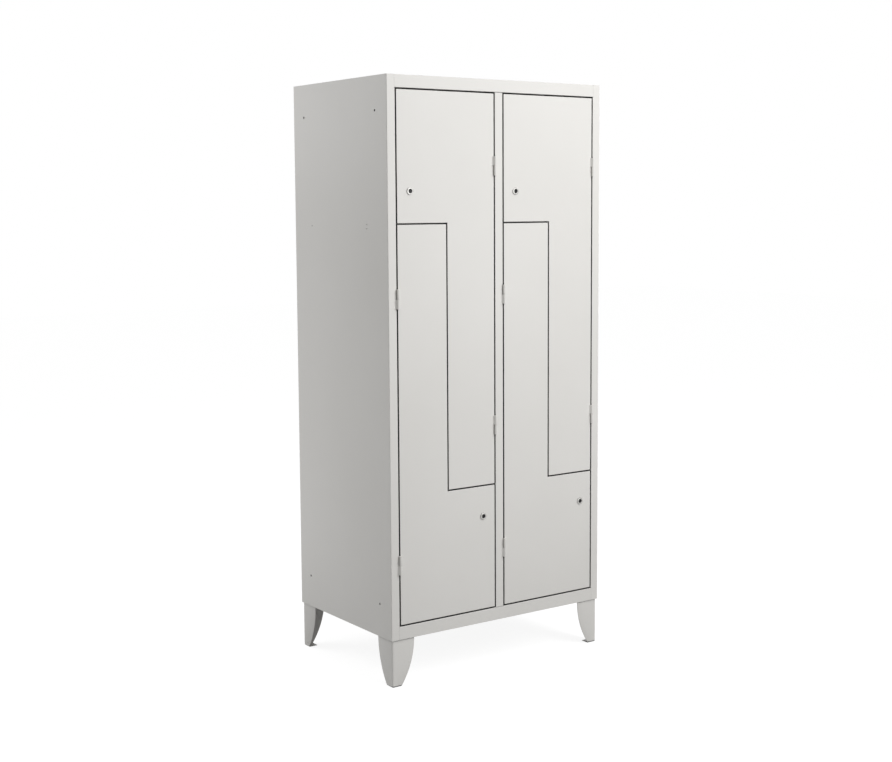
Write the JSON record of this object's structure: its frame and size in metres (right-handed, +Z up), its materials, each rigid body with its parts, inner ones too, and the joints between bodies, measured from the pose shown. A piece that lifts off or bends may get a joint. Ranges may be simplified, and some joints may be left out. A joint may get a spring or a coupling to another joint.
{
  "type": "z locker",
  "caption": "Free-standing sheet-steel Z locker in light grey, with interlocking L-shaped doors, cam locks, lift-off hinges and pressed tapering legs.",
  "frame": {"origin": "on the floor, under the middle of the locker's outline", "axes": "+X to the right as seen from the front, +Y to the back, +Z up"},
  "size_m": [0.8, 0.5494, 1.8],
  "materials": {
    "powder_coat": "light warm grey powder coat, satin, with a fine orange-peel texture",
    "zinc_plate": "bright zinc plate on steel",
    "chrome_plate": "polished chrome plate on a die-cast lock"
  },
  "bodies": {
    "cabinet": {"left_side_panel": "powder_coat", "right_side_panel": "powder_coat", "top_panel": "powder_coat", "base_panel": "powder_coat", "back_panel": "powder_coat", "centre_stile": "powder_coat", "centre_divider": "powder_coat", "left_upper_shelf": "powder_coat", "left_lower_shelf": "powder_coat", "left_mid_partition": "powder_coat", "left_upper_coat_rail": "zinc_plate", "left_lower_coat_rail": "zinc_plate", "right_upper_shelf": "powder_coat", "right_lower_shelf": "powder_coat", "right_mid_partition": "powder_coat", "right_upper_coat_rail": "zinc_plate", "right_lower_coat_rail": "zinc_plate", "front_left_leg": "powder_coat", "front_right_leg": "powder_coat", "rear_left_leg": "powder_coat", "rear_right_leg": "powder_coat", "left_upper_frame_hinge_top": "powder_coat", "left_upper_frame_hinge_bottom": "powder_coat", "left_lower_frame_hinge_top": "powder_coat", "left_lower_frame_hinge_bottom": "powder_coat", "right_upper_frame_hinge_top": "powder_coat", "right_upper_frame_hinge_bottom": "powder_coat", "right_lower_frame_hinge_top": "powder_coat", "right_lower_frame_hinge_bottom": "powder_coat"},
    "left_upper_door": {"left_upper_door_panel": "powder_coat", "left_upper_door_stiffener": "powder_coat", "left_upper_door_hinge_top": "powder_coat", "left_upper_door_hinge_bottom": "powder_coat", "left_upper_lock_housing": "chrome_plate"},
    "left_upper_lock": {"left_upper_lock_plug": "chrome_plate", "left_upper_lock_cam": "zinc_plate"},
    "left_lower_door": {"left_lower_door_panel": "powder_coat", "left_lower_door_stiffener": "powder_coat", "left_lower_door_hinge_top": "powder_coat", "left_lower_door_hinge_bottom": "powder_coat", "left_lower_lock_housing": "chrome_plate"},
    "left_lower_lock": {"left_lower_lock_plug": "chrome_plate", "left_lower_lock_cam": "zinc_plate"},
    "right_upper_door": {"right_upper_door_panel": "powder_coat", "right_upper_door_stiffener": "powder_coat", "right_upper_door_hinge_top": "powder_coat", "right_upper_door_hinge_bottom": "powder_coat", "right_upper_lock_housing": "chrome_plate"},
    "right_upper_lock": {"right_upper_lock_plug": "chrome_plate", "right_upper_lock_cam": "zinc_plate"},
    "right_lower_door": {"right_lower_door_panel": "powder_coat", "right_lower_door_stiffener": "powder_coat", "right_lower_door_hinge_top": "powder_coat", "right_lower_door_hinge_bottom": "powder_coat", "right_lower_lock_housing": "chrome_plate"},
    "right_lower_lock": {"right_lower_lock_plug": "chrome_plate", "right_lower_lock_cam": "zinc_plate"}
  },
  "joints": [
    {"name": "left_upper_door_swing", "type": "hinge", "parent": "cabinet", "child": "left_upper_door", "pos_m": [-0.01675, -0.27015, 1.16663], "axis": [0, 0, 1], "range_deg": [0, 92]},
    {"name": "left_upper_lock_turn", "type": "hinge", "parent": "left_upper_door", "child": "left_upper_lock", "pos_m": [-0.323, -0.26535, 1.468], "axis": [0, -1, 0], "range_deg": [0, 90]},
    {"name": "left_lower_door_swing", "type": "hinge", "parent": "cabinet", "child": "left_lower_door", "pos_m": [-0.36925, -0.27015, 0.77938], "axis": [0, 0, -1], "range_deg": [0, 110]},
    {"name": "left_lower_lock_turn", "type": "hinge", "parent": "left_lower_door", "child": "left_lower_lock", "pos_m": [-0.063, -0.26535, 0.478], "axis": [0, -1, 0], "range_deg": [0, 90]},
    {"name": "right_upper_door_swing", "type": "hinge", "parent": "cabinet", "child": "right_upper_door", "pos_m": [0.36925, -0.27015, 1.16663], "axis": [0, 0, 1], "range_deg": [0, 110]},
    {"name": "right_upper_lock_turn", "type": "hinge", "parent": "right_upper_door", "child": "right_upper_lock", "pos_m": [0.063, -0.26535, 1.468], "axis": [0, -1, 0], "range_deg": [0, 90]},
    {"name": "right_lower_door_swing", "type": "hinge", "parent": "cabinet", "child": "right_lower_door", "pos_m": [0.01675, -0.27015, 0.77938], "axis": [0, 0, -1], "range_deg": [0, 92]},
    {"name": "right_lower_lock_turn", "type": "hinge", "parent": "right_lower_door", "child": "right_lower_lock", "pos_m": [0.323, -0.26535, 0.478], "axis": [0, -1, 0], "range_deg": [0, 90]}
  ]
}
